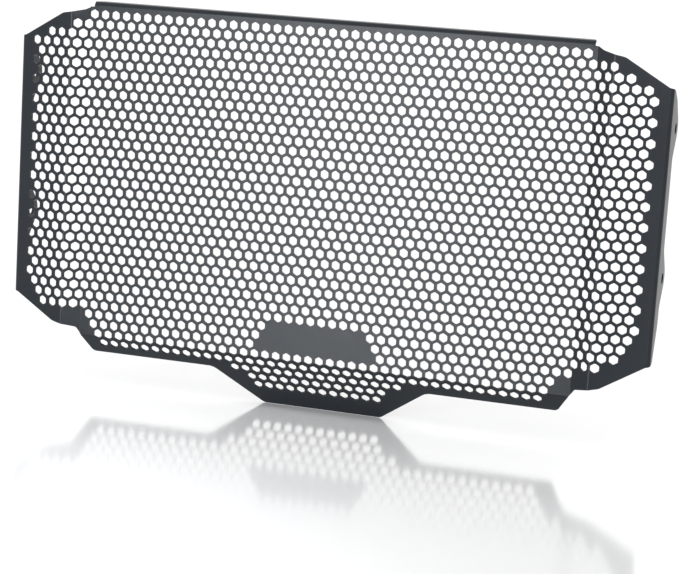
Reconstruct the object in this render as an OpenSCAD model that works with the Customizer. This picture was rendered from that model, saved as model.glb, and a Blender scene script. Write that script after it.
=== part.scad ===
// Radiator guard: one perforated aluminium sheet, folded along its edges.
// X runs across the guard, Y from its front to the radiator behind it, and Z up.

/* [Sheet] */
// Thickness of the sheet
sheet_t = 1.5; // [1:0.1:2.5]
// Inside radius of every fold
fold_r = 1.5; // [1:0.1:3]

/* [Middle panel] */
// Width of the middle panel between its two inner folds
panel_w = 316; // [260:1:400]
// Height from the lower fold to the top of the guard
panel_h = 209.5; // [170:0.5:260]
// Depth of the stiffening flange behind the panel's front face
top_flange_d = 12; // [8:0.5:20]
// How far each end of the top flange stops short of the inner fold
top_flange_gap = 2; // [1:0.5:10]

/* [Step strips and wings] */
// Width of the narrow step strip between the middle panel and a wing
step_w = 12; // [8:0.5:20]
// Angle at which the step strip comes forward
step_angle = 27; // [10:1:40]
// Width of a wing, from the outer fold to the outer face of its side flange
wing_w = 35; // [28:0.5:60]
// Angle at which a wing leans back towards the radiator
wing_lean = 7.5; // [0:0.5:15]
// How far the top edge of a wing lies below the top of the guard at the outer fold
wing_top_drop = 7; // [4:0.5:12]
// How far the bottom edge of a wing lies above the lower fold at the outer fold
wing_low_rise = 6.5; // [4:0.5:12]
// Width of the sloping cut at a wing's upper and lower corners
wing_cut_w = 29; // [20:0.5:34]
// Height of the sloping cut at a wing's upper and lower corners
wing_cut_h = 18; // [10:0.5:24]

/* [Side flanges and tabs] */
// How far the side flanges reach behind the middle panel's front face
flange_reach = 15; // [11:0.5:20]
// How far a side flange still reaches beyond its fold at its two ends
flange_end_d = 4; // [2:0.5:8]
// Length over which a side flange narrows to each end
flange_taper = 22; // [10:0.5:28]
// How far a side flange's fold stops short of each of its ends
flange_relief = 1; // [0.5:0.5:3]
// How far the bolt tabs reach behind the middle panel's front face
tab_reach = 26.5; // [22:0.5:36]
// Radius of a tab's round nose
tab_r = 8.75; // [7:0.25:10]
// Length of the flange edge that each tab grows out of
tab_root_w = 34; // [24:1:44]
// Diameter of the bolt holes
bolt_hole_d = 6.5; // [5:0.1:8]
// Distance between the two bolt holes of a side
bolt_spacing = 88; // [70:1:100]
// Height of the lower bolt hole above the lower fold
lower_bolt_z = 73.5; // [55:0.5:90]

/* [Lower strip and tongue] */
// Angle at which the lower strip is folded back
lower_angle = 29.5; // [10:0.5:40]
// Width of the lower strip below its fold
strip_h = 12; // [9:0.5:20]
// Width of the lower strip at its edge
strip_w = 300; // [240:1:380]
// How far the lower fold stops short of each inner fold
lower_fold_gap = 2; // [1:0.5:6]
// Width of the tongue where it leaves the strip
tongue_root_w = 138; // [100:1:180]
// Width of the tongue at its tip
tongue_tip_w = 76; // [50:1:90]
// Length of the tongue beyond the strip's edge
tongue_h = 25; // [18:0.5:40]
// Radius of the outline's outer corners
corner_r = 4; // [1:0.5:6]

/* [Perforation] */
// Pitch of the cells along a row, coarser than on a real sheet
cell_pitch = 15.6; // [14:0.1:24]
// Web left between two cells, in the proportion of a real sheet
web_w = 3.35; // [1.5:0.05:5]
// Plain rim along the top
top_rim = 4; // [3:0.5:12]
// Plain rim beside the side folds
side_rim = 6.5; // [5:0.5:15]
// Plain rim along the other edges
edge_rim = 4.5; // [3:0.5:10]
// Plain rim along the tongue's tip
tip_rim = 11.5; // [5:0.5:16]

/* [Badge field] */
// Width of the plain field at its lower edge
badge_low_w = 81; // [60:1:110]
// Width of the plain field at its upper edge
badge_top_w = 60; // [40:1:90]
// Height of the plain field
badge_h = 18; // [12:0.5:30]
// Height of the plain field's lower edge above the lower fold
badge_z = 4.5; // [1:0.5:10]

/* [Hidden] */
$fn = 32;

// Outside radius of the folds, and radius of the sheet's middle layer in a fold
outer_r = fold_r + sheet_t;
middle_r = fold_r + sheet_t / 2;
// Angle of the fold between a step strip and a wing, and between a wing and its side flange
wing_angle = step_angle + wing_lean;
flange_angle = 90 - wing_lean;

// Length of sheet that a fold of the given angle takes up
function fold_len(angle) = middle_r * angle * PI / 180;

// Places of the folds in the flat sheet, across from the centre line
inner_fold = panel_w / 2;
outer_fold = inner_fold + step_w;
wing_edge = outer_fold + wing_w;
wing_end = wing_edge - outer_r * tan(flange_angle / 2);
// The flat stretches between the folds
panel_end = inner_fold - fold_len(step_angle) / 2;
step_start = inner_fold + fold_len(step_angle) / 2;
step_end = outer_fold - fold_len(wing_angle) / 2;
wing_start = outer_fold + fold_len(wing_angle) / 2;
// Heights of the panel's flat stretch above the lower fold
panel_low = fold_len(lower_angle) / 2;
panel_top = panel_h - outer_r;
// Half the length of the top flange
top_flange_half = inner_fold - top_flange_gap;
// Where the lower strip ends and where the tongue ends, below the lower fold
strip_end = -strip_h;
tongue_end = strip_end - tongue_h;
// Height of a side flange's two ends
flange_top = panel_h - wing_top_drop - wing_cut_h;
flange_low = wing_low_rise + wing_cut_h;
// Height of the upper bolt hole
upper_bolt_z = lower_bolt_z + bolt_spacing;

// How far the outer folds stand in front of the middle panel's front face
front_reach = fold_r * (1 - cos(step_angle)) + (step_end - step_start) * sin(step_angle)
    + outer_r * (1 - cos(step_angle));
// Where a side flange's flat stretch starts behind the middle panel's front face
flange_start = outer_r - front_reach + (wing_end - wing_start) * sin(wing_lean);
// Lowest point of the tongue, below the lower fold
tongue_low = panel_low - outer_r * sin(lower_angle) + (tongue_end + panel_low) * cos(lower_angle);
// Middle of the whole guard, which becomes the origin
middle_y = (tab_reach - front_reach) / 2;
middle_z = (panel_h + tongue_low) / 2;

// The cell, its rows and how far each row is shifted
cell_w = cell_pitch - web_w;
cell_r = cell_w / sqrt(3);
row_pitch = cell_pitch * sqrt(3) / 2;
stagger_share = 0.25;
first_row_z = tongue_end + tip_rim + cell_r;
row_count = floor((panel_h - top_rim - cell_r - first_row_z) / row_pitch) + 1;
half_count = ceil(wing_edge / cell_pitch);
// Overrun of every cut past the sheet
overrun = 1;

// Half the width of the perforated field at heights above and below the lower fold
body_field = [
    [strip_end + edge_rim, strip_w / 2 - 2 * edge_rim],
    [wing_low_rise + edge_rim, inner_fold],
    [wing_low_rise + 2 * edge_rim, wing_edge - wing_cut_w + 2 * edge_rim],
    [flange_low + edge_rim / 2, wing_edge - side_rim],
    [flange_top - edge_rim / 2, wing_edge - side_rim],
    [panel_h - top_rim, inner_fold + top_flange_gap],
];
tongue_field = [
    [tongue_end + tip_rim, tongue_tip_w / 2 + edge_rim],
    [strip_end + edge_rim, tongue_root_w / 2 - 2 * edge_rim],
];
function field_half(z) = z < strip_end + edge_rim ? lookup(z, tongue_field) : lookup(z, body_field);
function badge_half(z) = lookup(z, [[badge_z, badge_low_w / 2], [badge_z + badge_h, badge_top_w / 2]]);
function on_badge(x, z) = z > badge_z && z < badge_z + badge_h && abs(x) < badge_half(z);
function in_field(x, z) = abs(x) + cell_w / 2 <= min(field_half(z - cell_r), field_half(z + cell_r));

// Centres of all cells in the flat sheet
cells = [
    for (row = [0 : row_count - 1])
        for (n = [-half_count : half_count])
            let (z = first_row_z + row * row_pitch)
            let (x = (n + (row % 2 == 0 ? stagger_share : -stagger_share)) * cell_pitch)
            if (in_field(x, z) && !on_badge(x, z)) [x, z]
];

// One half of the flat sheet's outline, from the tongue's tip to the top, without flanges.
// The sloping cuts run on past the wing, which is cut off at its side fold.
half_outline = [
    [0, tongue_end],
    [tongue_tip_w / 2, tongue_end],
    [tongue_root_w / 2, strip_end],
    [strip_w / 2, strip_end],
    [inner_fold - lower_fold_gap, 0],
    [inner_fold + step_w / 4, wing_low_rise - 2 * sheet_t],
    [outer_fold, wing_low_rise],
    [wing_edge - wing_cut_w, wing_low_rise + sheet_t],
    [wing_edge + wing_cut_w, wing_low_rise + 2 * wing_cut_h - sheet_t],
    [wing_edge + wing_cut_w, panel_h - wing_top_drop - 2 * wing_cut_h + sheet_t],
    [wing_edge - wing_cut_w, panel_h - wing_top_drop - sheet_t],
    [outer_fold, panel_h - wing_top_drop],
    [inner_fold + step_w / 4, panel_h - wing_top_drop + 2 * sheet_t],
    [inner_fold - sheet_t, panel_h],
    [0, panel_h],
];

module outline()
    offset(r = -corner_r)
        offset(r = 2 * corner_r)
            offset(delta = -corner_r) {
                polygon(half_outline);
                mirror([1, 0]) polygon(half_outline);
            }

// The flat sheet between two places across it and two heights, with its cells.
// On the left side the same drawing is mirrored, so its cells are taken from the left half.
module pattern(from, to, low, high, side = 1)
    difference() {
        intersection() {
            outline();
            polygon([[from, low], [to, low], [to, high], [from, high]]);
        }
        for (c = cells)
            let (x = side * c[0])
            if (x + cell_w / 2 > from && x - cell_w / 2 < to && c[1] + cell_r > low && c[1] - cell_r < high)
                translate([x, c[1]]) rotate(30) circle(r = cell_r, $fn = 6);
    }

// A drawing in the plane of the sheet, given a thickness, with its front face at y = 0
module leaf(extra = 0)
    translate([0, sheet_t + extra, 0])
        rotate([90, 0, 0])
            linear_extrude(sheet_t + 2 * extra) children();

// Moves what lies beyond a fold, drawn at its place in the flat sheet, to where the fold takes it.
// The fold begins and ends at the given places; a drawing is turned to the back or to the front.
module fold_back(angle, begin, end)
    translate([begin, outer_r, 0]) rotate(angle) translate([-end, -outer_r, 0]) children();
module fold_front(angle, begin, end)
    translate([begin, -fold_r, 0]) rotate(-angle) translate([-end, fold_r, 0]) children();

// A full turn of bent sheet that a fold's round stretch is cut from
module ring()
    difference() {
        circle(r = outer_r);
        circle(r = fold_r);
    }

// All that lies before a place, or beyond it, in the section of a fold
module beyond(x) translate([x, -2 * outer_r]) square([2 * outer_r, 4 * outer_r]);
module before(x) mirror([1, 0]) beyond(-x);

// The round stretch of a fold between two heights
module bend_back(angle, begin, end, low, high)
    translate([0, 0, low])
        linear_extrude(high - low)
            difference() {
                translate([begin, outer_r]) ring();
                before(begin);
                fold_back(angle, begin, end) beyond(end);
            }
module bend_front(angle, begin, end, low, high)
    translate([0, 0, low])
        linear_extrude(high - low)
            difference() {
                translate([begin, -fold_r]) ring();
                before(begin);
                fold_front(angle, begin, end) beyond(end);
            }

// The round-nosed tab that a bolt goes through, growing out of the flange's edge
module tab(z)
    hull() {
        translate([tab_reach - flange_start - tab_r, z]) circle(r = tab_r);
        translate([0, z - tab_root_w / 2]) square([flange_reach - flange_start, tab_root_w]);
    }

// A side flange with its two tabs, drawn from its fold backwards
module side_flange()
    leaf()
        difference() {
            union() {
                polygon([
                    [0, flange_low],
                    [flange_end_d, flange_low],
                    [flange_reach - flange_start, flange_low + flange_taper],
                    [flange_reach - flange_start, flange_top - flange_taper],
                    [flange_end_d, flange_top],
                    [0, flange_top],
                ]);
                tab(lower_bolt_z);
                tab(upper_bolt_z);
            }
            for (z = [lower_bolt_z, upper_bolt_z])
                translate([tab_reach - flange_start - tab_r, z]) circle(d = bolt_hole_d);
        }

// The step strip, wing and side flange of one side, each beyond the fold before it
module wing(side) {
    intersection() {
        bend_front(step_angle, panel_end, step_start, tongue_end, panel_h);
        fold_front(step_angle / 2, panel_end, inner_fold)
            leaf(overrun) pattern(inner_fold - outer_r, inner_fold + outer_r, tongue_end, panel_h, side);
    }
    fold_front(step_angle, panel_end, step_start) {
        leaf() pattern(step_start, step_end, tongue_end, panel_h, side);
        intersection() {
            bend_back(wing_angle, step_end, wing_start, tongue_end, panel_h);
            fold_back(wing_angle / 2, step_end, outer_fold)
                leaf(overrun) pattern(outer_fold - outer_r, outer_fold + outer_r, tongue_end, panel_h, side);
        }
        fold_back(wing_angle, step_end, wing_start) {
            leaf() pattern(wing_start, wing_end, tongue_end, panel_h, side);
            bend_back(flange_angle, wing_end, 0, flange_low + flange_relief, flange_top - flange_relief);
            fold_back(flange_angle, wing_end, 0) side_flange();
        }
    }
}

// The flange along the top edge, with its ends cut at a slant
module top_flange()
    rotate([0, -90, 0]) {
        bend_back(90, panel_top, 0, -top_flange_half, top_flange_half);
        fold_back(90, panel_top, 0)
            leaf()
                polygon([
                    [0, -top_flange_half],
                    [top_flange_d - outer_r, top_flange_gap - top_flange_half],
                    [top_flange_d - outer_r, top_flange_half - top_flange_gap],
                    [0, top_flange_half],
                ]);
    }

// The lower strip and its tongue, folded back under the middle panel
module lower_strip()
    rotate([0, 90, 0]) {
        intersection() {
            bend_back(lower_angle, -panel_low, panel_low, -panel_end, panel_end);
            fold_back(lower_angle / 2, -panel_low, 0)
                leaf(overrun) rotate(90) pattern(-panel_end, panel_end, -outer_r, outer_r);
        }
        fold_back(lower_angle, -panel_low, panel_low)
            leaf() rotate(90) pattern(-panel_end, panel_end, tongue_end, -panel_low);
    }

// The whole sheet, with the middle of the guard at the origin
module guard_sheet()
    color([0.16, 0.17, 0.19])
        translate([0, -middle_y, -middle_z]) {
            leaf() pattern(-panel_end, panel_end, panel_low, panel_top);
            top_flange();
            lower_strip();
            wing(1);
            mirror([1, 0, 0]) wing(-1);
        }

guard_sheet();
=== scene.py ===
"""Radiator guard: one perforated aluminium sheet, folded and powder-coated satin black.

The sheet is drawn flat with all its cells, filled in between them, folded line by line and given its
thickness. It stands on a pale studio floor.
"""
from math import asin, atan2, hypot, pi, radians, sqrt, tan

import bpy
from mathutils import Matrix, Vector


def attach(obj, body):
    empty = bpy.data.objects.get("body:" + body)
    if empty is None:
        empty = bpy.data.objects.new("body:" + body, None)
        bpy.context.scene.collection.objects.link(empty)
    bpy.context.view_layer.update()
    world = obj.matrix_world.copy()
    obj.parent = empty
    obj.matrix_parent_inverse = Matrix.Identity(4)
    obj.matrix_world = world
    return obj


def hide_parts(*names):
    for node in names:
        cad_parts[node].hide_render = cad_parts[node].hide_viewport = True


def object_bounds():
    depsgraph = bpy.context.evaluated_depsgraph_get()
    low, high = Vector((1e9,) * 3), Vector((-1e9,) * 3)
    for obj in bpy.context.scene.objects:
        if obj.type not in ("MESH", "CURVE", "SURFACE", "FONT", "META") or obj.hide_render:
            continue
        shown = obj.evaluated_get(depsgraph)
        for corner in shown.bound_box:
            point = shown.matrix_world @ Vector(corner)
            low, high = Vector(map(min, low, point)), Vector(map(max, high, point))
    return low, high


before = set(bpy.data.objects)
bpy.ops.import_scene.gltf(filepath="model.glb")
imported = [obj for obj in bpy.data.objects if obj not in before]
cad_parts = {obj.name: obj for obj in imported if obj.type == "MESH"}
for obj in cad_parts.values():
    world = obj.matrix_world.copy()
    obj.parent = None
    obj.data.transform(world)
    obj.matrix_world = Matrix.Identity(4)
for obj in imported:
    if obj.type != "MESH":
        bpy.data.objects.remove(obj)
cad_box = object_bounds()

MM = 0.001

# Sizes of the guard in millimetres. On the flat sheet, widths count from its centre line and heights
# from the lower fold.
SHEET_T = 1.5
EDGE_BEVEL = 0.2

# Folds: their places on the flat sheet, their angles, and the bend radius of the sheet's middle layer
MIDDLE_R = 2.25
INNER_FOLD, INNER_ANGLE = 158.0, 27.0
OUTER_FOLD, OUTER_ANGLE = 170.0, 34.5
FLANGE_FOLD, FLANGE_ANGLE = 202.36, 82.5
TOP_FOLD, TOP_ANGLE = 206.48, 90.0
LOWER_ANGLE = 29.5
STEEP_STEPS, SLIGHT_STEPS = 8, 4

# Depths of the side flanges' base and end, of the bolt holes and of the top flange beyond their bends
FLANGE_DEPTH = 13.254
FLANGE_END = 4.0
HOLE_DEPTH = 15.94
TOP_FLANGE_DEPTH = 9.0

# Bolt tabs and their holes
BOLT_Z = (73.5, 161.5)
BOLT_HOLE_R = 3.25
BOLT_HOLE_POINTS = 32
TAB_NOSE_R = 8.75
TAB_ROOT_HALF = 17.0

# Middle layer of the sheet, in the row frame, and height of the lower fold there
MIDDLE_Y, LOWER_FOLD_Z = -9.765, -88.4515

# Cells: a hexagon lattice with level rows, counted downwards from the row at height ROW_0_Z
CELL_PITCH, CELL_W, CELL_CORNER_R = 7.0, 5.25, 0.9
ROW_PITCH = CELL_PITCH * sqrt(3) / 2
ROW_0_Z = 86.567
FIRST_ROW, LAST_ROW = -19, 18
COLUMNS = 29
# Every second row is shifted by a quarter of the pitch to the right, and the others to the left
ROW_SHIFT = 0.25

# How far from the centre line the cells of a row reach to the left and to the right
FULL_REACH = (196, 196)
ROW_REACH = {
    -19: (157, 157), -18: (171, 171), -17: (185, 185),
    9: (192, 192), 10: (189, 189), 11: (184, 175),
    12: (157, 157), 13: (150.5, 150.5), 14: (147, 147), 15: (143.5, 143.5),
    16: (56, 56), 17: (45.5, 45.5), 18: (42, 42),
}
# Half the width that each row leaves plain at the badge place
BADGE_HALF = {11: 31.5, 12: 35.0, 13: 38.5}

# Points of an edge's curve: a round corner of the outline, and a corner of a cell
OUTLINE_SEGMENTS, CELL_SEGMENTS = 6, 2
# Distances within which a point counts as a given corner, or as lying on a fold line
SAME_CORNER, ON_FOLD = 0.01, 0.001
# Edges that turn by less than this angle are shaded smooth
SMOOTH_ANGLE = 50.0

# Width of the studio floor in metres
FLOOR_SIZE = 60


def fold_len(angle):
    """Length of the sheet's middle layer in a fold."""
    return MIDDLE_R * radians(angle)


FLANGE_START = FLANGE_FOLD + fold_len(FLANGE_ANGLE)
FLANGE_EDGE = FLANGE_START + FLANGE_DEPTH
TAB_HOLE_X = FLANGE_START + HOLE_DEPTH
TOP_FLANGE_START = TOP_FOLD + fold_len(TOP_ANGLE)
TOP_FLANGE_EDGE = TOP_FLANGE_START + TOP_FLANGE_DEPTH


def tab_tip_x():
    """Where the two slanting sides of a tab would meet, if its nose weren't round."""
    reach = TAB_HOLE_X - FLANGE_EDGE
    slant = atan2(TAB_ROOT_HALF, reach) - asin(TAB_NOSE_R / hypot(TAB_ROOT_HALF, reach))
    return FLANGE_EDGE + TAB_ROOT_HALF / tan(slant)


# Corners of the flat sheet's right half from the tongue's tip upwards: across, height, corner radius
HALF_OUTLINE = [
    (38.0, -37.0, 4.0),
    (69.0, -12.0, 8.0),
    (150.0, -12.0, 3.5),
    (157.0, 0.0, 3.0),
    (160.5, 4.7, 3.0),
    (170.0, 6.3, 0.0),
    (176.4, 7.7, 8.0),
    (FLANGE_FOLD, 23.0, 2.0),
    (FLANGE_START + FLANGE_END, 24.5, 4.0),
    (FLANGE_EDGE, 46.5, 8.0),
    (FLANGE_EDGE, BOLT_Z[0] - TAB_ROOT_HALF, 5.0),
    (tab_tip_x(), BOLT_Z[0], TAB_NOSE_R),
    (FLANGE_EDGE, BOLT_Z[0] + TAB_ROOT_HALF, 5.0),
    (FLANGE_EDGE, BOLT_Z[1] - TAB_ROOT_HALF, 5.0),
    (tab_tip_x(), BOLT_Z[1], TAB_NOSE_R),
    (FLANGE_EDGE, BOLT_Z[1] + TAB_ROOT_HALF, 3.0),
    (FLANGE_START + FLANGE_END, 184.5, 4.0),
    (FLANGE_FOLD, 186.0, 2.0),
    (176.0, 201.6, 8.0),
    (170.0, 202.6, 0.0),
    (161.5, 204.4, 3.0),
    (158.2, 206.1, 1.0),
    (156.0, TOP_FOLD, 0.0),
    (156.0, TOP_FLANGE_START, 1.0),
    (154.0, TOP_FLANGE_EDGE, 2.0),
]


def has_cell(x, z):
    """True where the sheet has a cell: inside the field, and not on the plain badge place."""
    row = round((ROW_0_Z - z) / ROW_PITCH)
    left, right = ROW_REACH.get(row, FULL_REACH)
    return -left < x < right and abs(x) > BADGE_HALF.get(row, 0)


def deselect_all():
    for piece in bpy.context.selected_objects:
        piece.select_set(False)


def settle(piece, name):
    """Names a new primitive and moves its place into its mesh."""
    piece.name = piece.data.name = name
    bpy.ops.object.transform_apply(location=True, rotation=True, scale=True)
    return piece


def pick(piece, wanted):
    """Goes into edit mode with those points of a piece selected whose place, in millimetres, is wanted."""
    bpy.ops.object.mode_set(mode="EDIT")
    bpy.ops.mesh.select_mode(type="VERT")
    bpy.ops.mesh.select_all(action="DESELECT")
    bpy.ops.object.mode_set(mode="OBJECT")
    for point in piece.data.vertices:
        point.select = bool(wanted(point.co / MM))
    bpy.ops.object.mode_set(mode="EDIT")


def ring(points, radius, x, z, name):
    """A ring of edges in the plane of the sheet, with one point straight up."""
    deselect_all()
    bpy.ops.mesh.primitive_circle_add(
        vertices=points, radius=radius * MM, rotation=(pi / 2, 0, 0), location=(x * MM, 0, z * MM),
    )
    return settle(bpy.context.object, name)


def repeat(piece, offset, count):
    """Copies a piece count times along an offset in millimetres."""
    rows = piece.modifiers.new("Repeat", "ARRAY")
    rows.use_relative_offset = False
    rows.use_constant_offset = True
    rows.constant_offset_displace = Vector(offset) * MM
    rows.count = count
    bpy.ops.object.modifier_apply(modifier=rows.name)


def round_off(piece, wanted, turn, radius, segments):
    """Rounds the wanted corners of a ring, where it turns by a given angle."""
    pick(piece, wanted)
    start = radius * tan(turn / 2) * MM
    bpy.ops.mesh.bevel(offset_type="OFFSET", offset=start, segments=segments, affect="VERTICES")
    bpy.ops.object.mode_set(mode="OBJECT")


def cell_lattice(first_row):
    """The cells of every second row, cut down to the perforated field."""
    shift = ROW_SHIFT if first_row % 2 == 0 else -ROW_SHIFT
    rows = (LAST_ROW - first_row) // 2 + 1
    top = ROW_0_Z - first_row * ROW_PITCH
    cells = ring(6, CELL_W / sqrt(3), (shift - COLUMNS) * CELL_PITCH, top, "cells")
    round_off(cells, lambda place: True, pi / 3, CELL_CORNER_R, CELL_SEGMENTS)
    repeat(cells, (CELL_PITCH, 0, 0), 2 * COLUMNS + 1)
    repeat(cells, (0, 0, -2 * ROW_PITCH), rows)

    def outside(place):
        row = round((top - place.z) / (2 * ROW_PITCH))
        column = round(place.x / CELL_PITCH - shift)
        return not has_cell((column + shift) * CELL_PITCH, top - 2 * row * ROW_PITCH)

    pick(cells, outside)
    bpy.ops.mesh.delete(type="VERT")
    bpy.ops.object.mode_set(mode="OBJECT")
    return cells


def sheet_outline():
    """The edge of the whole flat sheet, with its flanges, tabs and tongue.

    Its edges are marked as seams, so that they are found again once the sheet is thick.
    """
    corners = HALF_OUTLINE + [(-x, z, r) for x, z, r in reversed(HALF_OUTLINE)]
    # The ring only brings as many points as there are corners, and each one then goes to its corner
    outline = ring(len(corners), FLANGE_FOLD, 0, 0, "guard")
    for point, (x, z, _) in zip(outline.data.vertices, corners):
        point.co = Vector((x, 0, z)) * MM
    places = [(x, z) for x, z, _ in corners]
    for i, (x, z, radius) in enumerate(corners):
        before, after = places[i - 1], places[(i + 1) % len(places)]
        turn = Vector((x - before[0], z - before[1])).angle(Vector((after[0] - x, after[1] - z)))
        if radius:
            round_off(
                outline, lambda place: hypot(place.x - x, place.z - z) < SAME_CORNER,
                turn, radius, OUTLINE_SEGMENTS,
            )
    pick(outline, lambda place: True)
    bpy.ops.mesh.mark_seam()
    bpy.ops.object.mode_set(mode="OBJECT")
    return outline


def bolt_holes():
    """The edges of the four bolt holes, two on each side."""
    return [
        ring(BOLT_HOLE_POINTS, BOLT_HOLE_R, side * TAB_HOLE_X, z, "bolt_hole")
        for side in (-1, 1) for z in BOLT_Z
    ]


def flat_sheet():
    """The sheet as it leaves the laser: outline, cells and bolt holes, filled in between."""
    holes = [cell_lattice(FIRST_ROW), cell_lattice(FIRST_ROW + 1)] + bolt_holes()
    sheet = sheet_outline()
    deselect_all()
    for piece in holes + [sheet]:
        piece.select_set(True)
    bpy.context.view_layer.objects.active = sheet
    bpy.ops.object.join()
    pick(sheet, lambda place: True)
    bpy.ops.mesh.fill(use_beauty=True)
    bpy.ops.mesh.select_all(action="SELECT")
    bpy.ops.mesh.normals_make_consistent(inside=False)
    bpy.ops.object.mode_set(mode="OBJECT")
    return sheet


def fold(sheet, across, begin, angle, steps):
    """Folds what lies beyond a line.

    across is +1 or -1 for a line on the right or left, or 0 for a level one. The fold takes up the sheet
    from begin on, going outwards, or upwards or downwards where across is 0, and the sheet turns to the
    back where the angle is positive.
    """
    way = across or (1 if begin > TOP_FOLD / 2 else -1)
    hinges = [begin + way * fold_len(abs(angle)) * (step + 0.5) / steps for step in range(steps)]
    for hinge in reversed(hinges):
        place = Vector((hinge, 0, 0) if across else (0, 0, hinge)) * MM
        normal = (1, 0, 0) if across else (0, 0, 1)
        pick(sheet, lambda p: True)
        bpy.ops.mesh.bisect(plane_co=place, plane_no=normal)
        bpy.ops.object.mode_set(mode="OBJECT")
        pick(sheet, lambda p: way * ((p.x if across else p.z) - hinge) > ON_FOLD)
        turn = radians(angle) / steps * (-way if across else way)
        bpy.ops.transform.rotate(value=turn, orient_axis="Z" if across else "X", center_override=place)
        bpy.ops.object.mode_set(mode="OBJECT")


def fold_up(sheet):
    """All folds, the outer ones first, so that each line is still straight when its turn comes."""
    for side in (-1, 1):
        fold(sheet, side, side * FLANGE_FOLD, FLANGE_ANGLE, STEEP_STEPS)
    fold(sheet, 0, TOP_FOLD, TOP_ANGLE, STEEP_STEPS)
    for side in (-1, 1):
        fold(sheet, side, side * (OUTER_FOLD - fold_len(OUTER_ANGLE) / 2), OUTER_ANGLE, SLIGHT_STEPS)
    fold(sheet, 0, fold_len(LOWER_ANGLE) / 2, LOWER_ANGLE, SLIGHT_STEPS)
    for side in (-1, 1):
        fold(sheet, side, side * (INNER_FOLD - fold_len(INNER_ANGLE) / 2), -INNER_ANGLE, SLIGHT_STEPS)


def put_in_place(sheet):
    """Moves the sheet's middle layer to its place in the row frame."""
    pick(sheet, lambda place: True)
    bpy.ops.transform.translate(value=(0, MIDDLE_Y * MM, LOWER_FOLD_Z * MM))
    bpy.ops.object.mode_set(mode="OBJECT")


def thicken(sheet):
    """Gives the middle layer the sheet's thickness, half of it to each side."""
    walls = sheet.modifiers.new("Thickness", "SOLIDIFY")
    walls.thickness = SHEET_T * MM
    walls.offset = 0
    walls.use_even_offset = True
    walls.use_quality_normals = True
    bpy.ops.object.modifier_apply(modifier=walls.name)


def deburr(sheet):
    """Takes the sharp edges off the outline, whose edges are the seams on both faces."""
    pick(sheet, lambda place: False)
    bpy.ops.mesh.select_mode(type="EDGE")
    bpy.ops.object.mode_set(mode="OBJECT")
    for edge in sheet.data.edges:
        edge.select = edge.use_seam
    bpy.ops.object.mode_set(mode="EDIT")
    bpy.ops.mesh.bevel(offset=EDGE_BEVEL * MM, segments=1, affect="EDGES", clamp_overlap=False)
    bpy.ops.object.mode_set(mode="OBJECT")


def shade(sheet):
    """Smooth light over the folds' narrow steps, and even light on the flat facets."""
    deselect_all()
    sheet.select_set(True)
    bpy.ops.object.shade_smooth_by_angle(angle=radians(SMOOTH_ANGLE))
    shading = sheet.modifiers.new("Even shading", "WEIGHTED_NORMAL")
    shading.keep_sharp = True
    bpy.ops.object.modifier_apply(modifier=shading.name)


def linear(hex_colour):
    """An sRGB hex value as the linear colour that a shader takes."""
    shares = [int(hex_colour[i:i + 2], 16) / 255 for i in (1, 3, 5)]
    return tuple(c / 12.92 if c <= 0.04045 else ((c + 0.055) / 1.055) ** 2.4 for c in shares) + (1.0,)


def add_node(tree, kind, links=(), **settings):
    """Adds a node, sets its sockets by name, with _ for a space, and links (socket, node, output) into it."""
    node = tree.nodes.new(kind)
    for name, value in settings.items():
        node.inputs[name.replace("_", " ")].default_value = value
    for socket, source, output in links:
        tree.links.new(source.outputs[output], node.inputs[socket])
    return node


def powder_coat():
    """Satin black polyester powder coat, sprayed and stoved on aluminium sheet: a soft sheen that spreads
    wide over the flat panels, a cool dark body colour, and the fine orange peel of the melted powder."""
    material = bpy.data.materials.new("satin_powder_coat_on_aluminium")
    material.use_nodes = True
    tree = material.node_tree
    tree.nodes.clear()
    place = add_node(tree, "ShaderNodeTexCoord")
    # Uneven thickness of the coat over a hand's width, which shifts the colour and the sheen a little
    cloud_width = 60 * MM
    low, high = 0.3, 0.7
    clouds = add_node(
        tree, "ShaderNodeTexNoise", [("Vector", place, "Object")], Scale=1 / cloud_width, Detail=2.0,
    )
    tone = add_node(tree, "ShaderNodeValToRGB", [("Fac", clouds, "Fac")])
    for stop, position, colour in zip(tone.color_ramp.elements, (low, high), ("#1f2327", "#23272b")):
        stop.position = position
        stop.color = linear(colour)
    sheen = add_node(
        tree, "ShaderNodeMapRange", [("Value", clouds, "Fac")],
        From_Min=low, From_Max=high, To_Min=0.27, To_Max=0.3,
    )
    # Orange peel: waves about 1.2 mm apart and a few hundredths of a millimetre high
    peel_width, peel_height = 1.2 * MM, 0.03 * MM
    peel = add_node(
        tree, "ShaderNodeTexNoise", [("Vector", place, "Object")], Scale=1 / peel_width, Detail=1.0,
    )
    bump = add_node(tree, "ShaderNodeBump", [("Height", peel, "Fac")], Strength=0.35, Distance=peel_height)
    coat = add_node(
        tree, "ShaderNodeBsdfPrincipled",
        [("Base Color", tone, "Color"), ("Roughness", sheen, "Result"), ("Normal", bump, "Normal")],
        Metallic=0.0, IOR=1.25,
    )
    add_node(tree, "ShaderNodeOutputMaterial", [("Surface", coat, "BSDF")])
    return material


def studio_floor():
    """White acrylic sheet under a clear lacquer: even white, with a soft mirror image of what stands on it,
    which grows stronger the flatter it is looked at."""
    material = bpy.data.materials.new("lacquered_white_acrylic_sheet")
    material.use_nodes = True
    tree = material.node_tree
    tree.nodes.clear()
    acrylic = add_node(
        tree, "ShaderNodeBsdfPrincipled",
        Base_Color=linear("#fafafa"), Roughness=0.12, IOR=1.5,
        Coat_Weight=1.0, Coat_Roughness=0.12, Coat_IOR=1.6,
    )
    add_node(tree, "ShaderNodeOutputMaterial", [("Surface", acrylic, "BSDF")])
    return material


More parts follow.
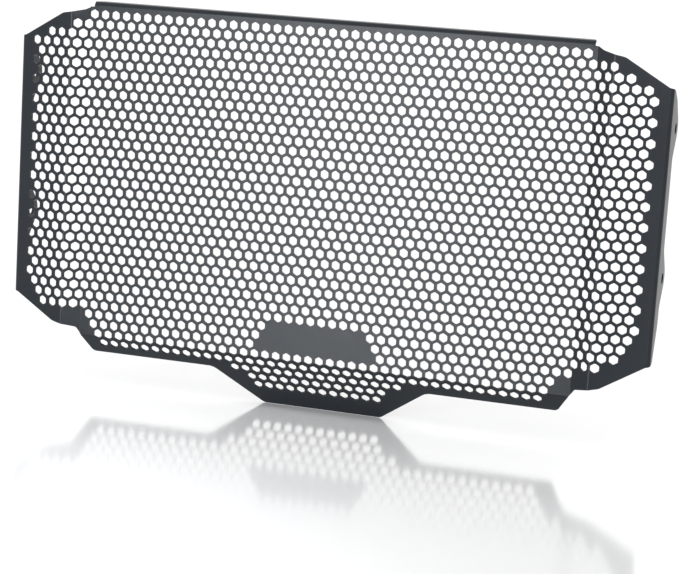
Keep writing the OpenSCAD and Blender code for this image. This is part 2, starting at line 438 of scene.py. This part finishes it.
def lamp(kind, name, place, aim, power):
    """A lamp at a place, turned towards another. It isn't seen itself through the cells."""
    light = bpy.data.lights.new(name, kind)
    light.energy = power
    light.color = linear("#fafcff")[:3]
    holder = bpy.data.objects.new(name, light)
    bpy.context.scene.collection.objects.link(holder)
    holder.visible_camera = False
    holder.location = place
    holder.rotation_euler = (Vector(aim) - Vector(place)).to_track_quat("-Z", "Y").to_euler()
    return light


def softbox(name, place, aim, power, width, height):
    box = lamp("AREA", name, place, aim, power)
    box.shape = "RECTANGLE"
    box.size = width
    box.size_y = height


def studio_lights():
    """A big soft box in front and to the left gives the panel its sheen, and a small one to the right the
    folds and the wing. A soft spot from above lights the floor in front of the left side, where the mirror
    image fades away."""
    softbox("main_softbox", (-0.52, -1.93, 0.25), (0, 0, 0.1), 22, 0.58, 0.7)
    softbox("side_softbox", (0.81, -1.75, 0.3), (0, 0, 0.05), 5, 0.3, 0.4)
    spot = lamp("SPOT", "floor_spot", (-0.22, -0.4, 0.9), (-0.22, -0.4, -0.12), 30)
    spot.spot_size = radians(45)
    spot.spot_blend = 1.0
    spot.shadow_soft_size = 0.1


def white_surroundings():
    """The white walls of the studio, a little brighter than the lightest tone that the picture shows."""
    world = bpy.data.worlds.new("studio")
    bpy.context.scene.world = world
    world.use_nodes = True
    walls = world.node_tree.nodes["Background"]
    walls.inputs["Color"].default_value = linear("#ffffff")
    walls.inputs["Strength"].default_value = 1.07
    bpy.context.scene.view_settings.view_transform = "Standard"


def place_camera():
    """The camera, in front and to the right and a little above the guard, at the photograph's angle."""
    lens = bpy.data.cameras.new("camera")
    lens.lens = 109.586
    lens.sensor_width = 36.0
    lens.clip_start = 0.05
    lens.clip_end = 100.0
    camera = bpy.data.objects.new("camera", lens)
    bpy.context.scene.collection.objects.link(camera)
    camera.location = (0.36932, -1.19106, 0.18609)
    camera.rotation_euler = (radians(79.64507), radians(-3.47256), radians(17.45108))
    bpy.context.scene.camera = camera


sheet = flat_sheet()
fold_up(sheet)
put_in_place(sheet)
thicken(sheet)
deburr(sheet)
shade(sheet)
sheet.data.materials.clear()
sheet.data.materials.append(powder_coat())
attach(sheet, "root")
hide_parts("guard_sheet")

# The floor lies under the tongue's tip, and reaches past the horizon of the camera
deselect_all()
bpy.ops.mesh.primitive_plane_add(size=FLOOR_SIZE, location=(0, 0, cad_box[0].z))
floor = settle(bpy.context.object, "studio_floor")
floor.data.materials.append(studio_floor())

studio_lights()
white_surroundings()
place_camera()
